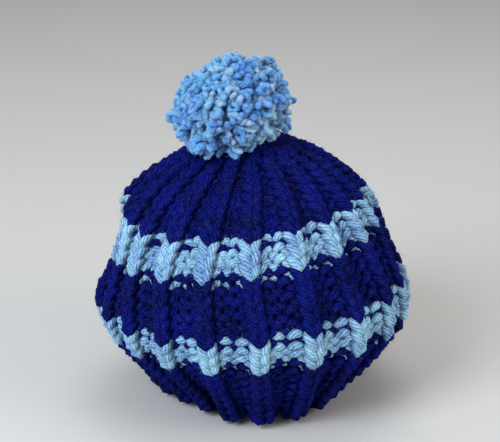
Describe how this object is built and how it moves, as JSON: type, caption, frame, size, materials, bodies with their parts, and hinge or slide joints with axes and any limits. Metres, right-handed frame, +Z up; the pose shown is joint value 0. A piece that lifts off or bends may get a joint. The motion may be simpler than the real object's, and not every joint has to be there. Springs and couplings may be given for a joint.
{
  "type": "tea cosy",
  "caption": "Hand-knitted chunky ribbed tea cosy with contrast stripes, side slits for spout and handle, a gathered crown and a fluffy pompom.",
  "frame": {"origin": "middle of the bounding box, on the surface that the hem stands on", "axes": "+Z up; the front panel faces -Y; the spout slit is at -X and the handle slit at +X"},
  "size_m": [0.1984, 0.202, 0.2189],
  "materials": {
    "royal_blue_yarn": "matt chunky acrylic-type yarn, royal blue, slightly fuzzy",
    "sky_blue_yarn": "matt chunky acrylic-type yarn, sky blue, slightly fuzzy"
  },
  "bodies": {
    "root": {"front_panel": "royal_blue_yarn", "back_panel": "royal_blue_yarn", "pompom": "sky_blue_yarn"}
  },
  "joints": []
}
